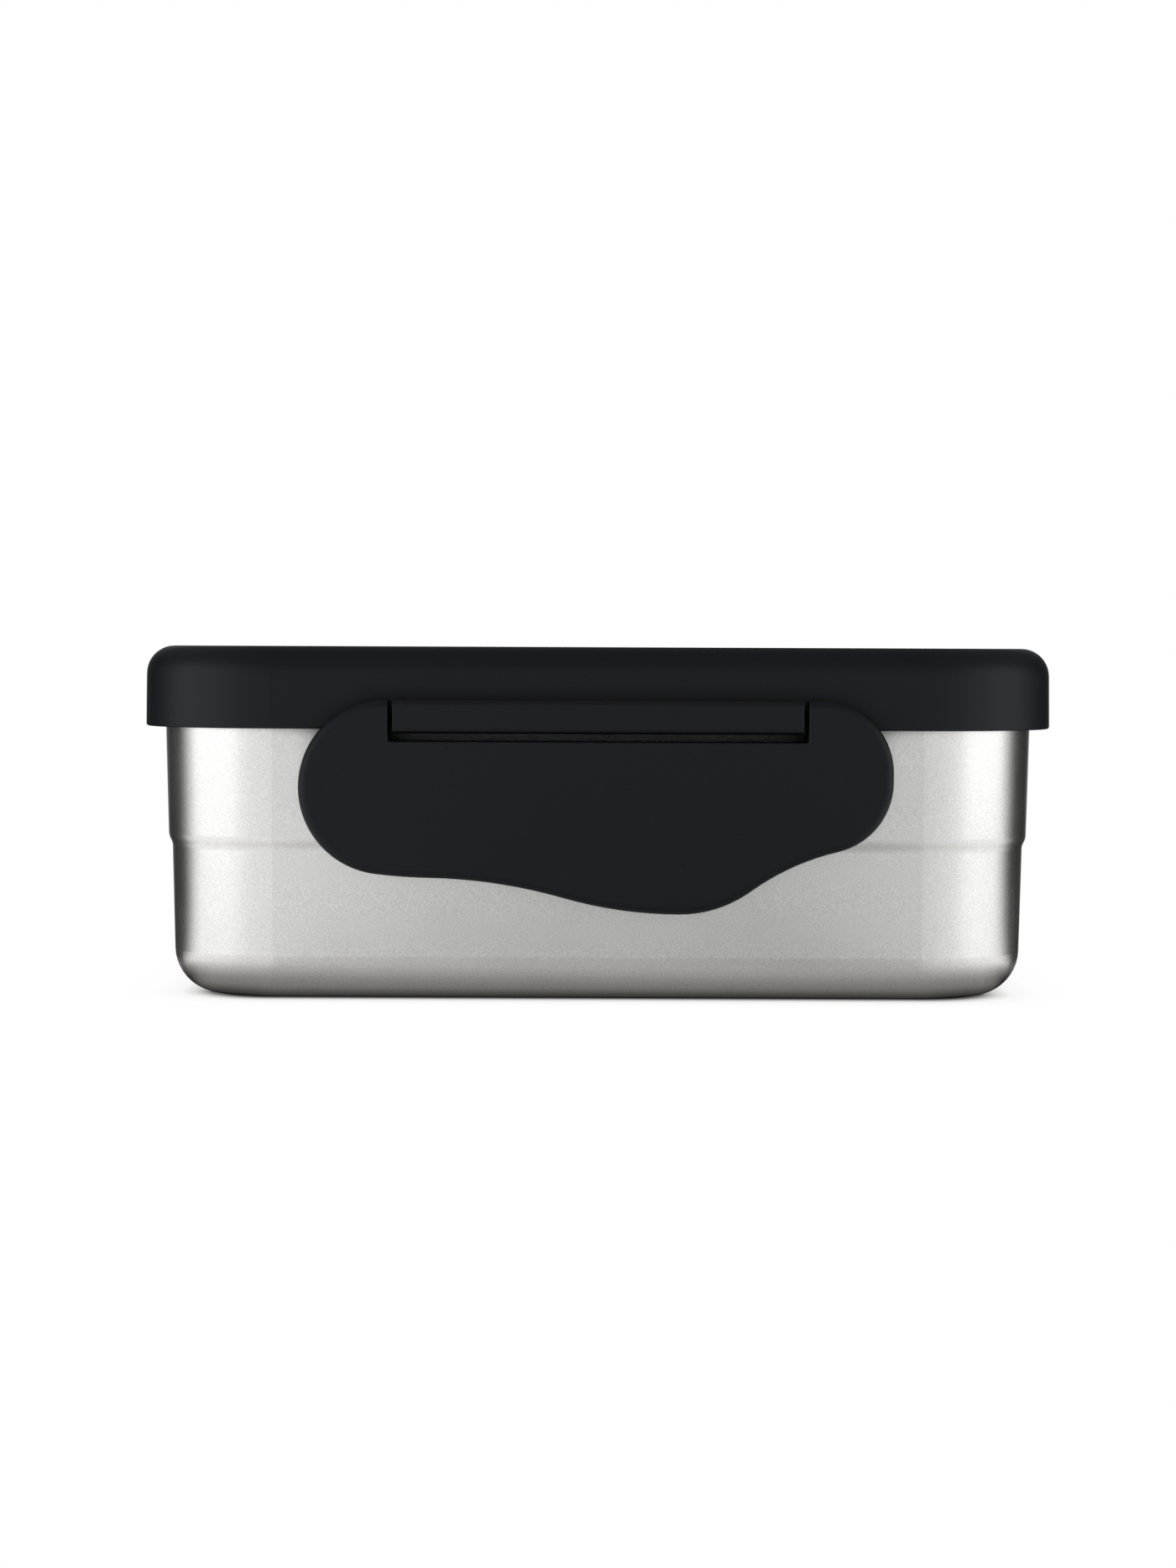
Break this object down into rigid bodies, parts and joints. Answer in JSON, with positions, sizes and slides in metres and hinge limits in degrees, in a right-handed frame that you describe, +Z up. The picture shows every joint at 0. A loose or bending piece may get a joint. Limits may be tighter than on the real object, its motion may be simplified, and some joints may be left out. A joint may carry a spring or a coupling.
{
  "type": "metal lunch box",
  "caption": "Rounded steel lunch box whose moulded lid seals on a rolled rim and is held by wavy swing clips that catch under a pressed ledge.",
  "frame": {"origin": "middle of the tub's flat underside", "axes": "+Z up, +X along the long side to the viewer's right, the front clip towards -Y"},
  "size_m": [0.18, 0.1436, 0.069],
  "materials": {
    "tub_steel": "satin, fine grain",
    "lid_plastic": "fine matte texture",
    "clip_plastic": "fine matte texture",
    "seal_rubber": "soft matte",
    "pin_steel": "ground"
  },
  "bodies": {
    "tub": {"tub": "tub_steel"},
    "lid": {"lid": "lid_plastic", "lid_seal": "seal_rubber"},
    "front_pins": {"front_hinge_pin_left": "pin_steel", "front_hinge_pin_right": "pin_steel"},
    "front_clip": {"front_clip": "clip_plastic"},
    "rear_pins": {"rear_hinge_pin_left": "pin_steel", "rear_hinge_pin_right": "pin_steel"},
    "rear_clip": {"rear_clip": "clip_plastic"}
  },
  "joints": [
    {"name": "lid_lift", "type": "slide", "parent": "tub", "child": "lid", "axis": [0, 0, 1], "range_m": [0, 0.035]},
    {"name": "front_pin_turn", "type": "hinge", "parent": "lid", "child": "front_pins", "pos_m": [0, -0.069, 0.05565], "axis": [-1, 0, 0], "range_deg": [0, 30]},
    {"name": "front_clip_swing", "type": "hinge", "parent": "front_pins", "child": "front_clip", "pos_m": [0, -0.069, 0.05565], "axis": [-1, 0, 0], "range_deg": [0, 140]},
    {"name": "rear_pin_turn", "type": "hinge", "parent": "lid", "child": "rear_pins", "pos_m": [0, 0.069, 0.05565], "axis": [1, 0, 0], "range_deg": [0, 30]},
    {"name": "rear_clip_swing", "type": "hinge", "parent": "rear_pins", "child": "rear_clip", "pos_m": [0, 0.069, 0.05565], "axis": [1, 0, 0], "range_deg": [0, 140]}
  ],
  "couplings": [
    {"joint": "front_pin_turn", "follows": "lid_lift", "rad_per_m": 14},
    {"joint": "rear_pin_turn", "follows": "lid_lift", "rad_per_m": 14}
  ]
}
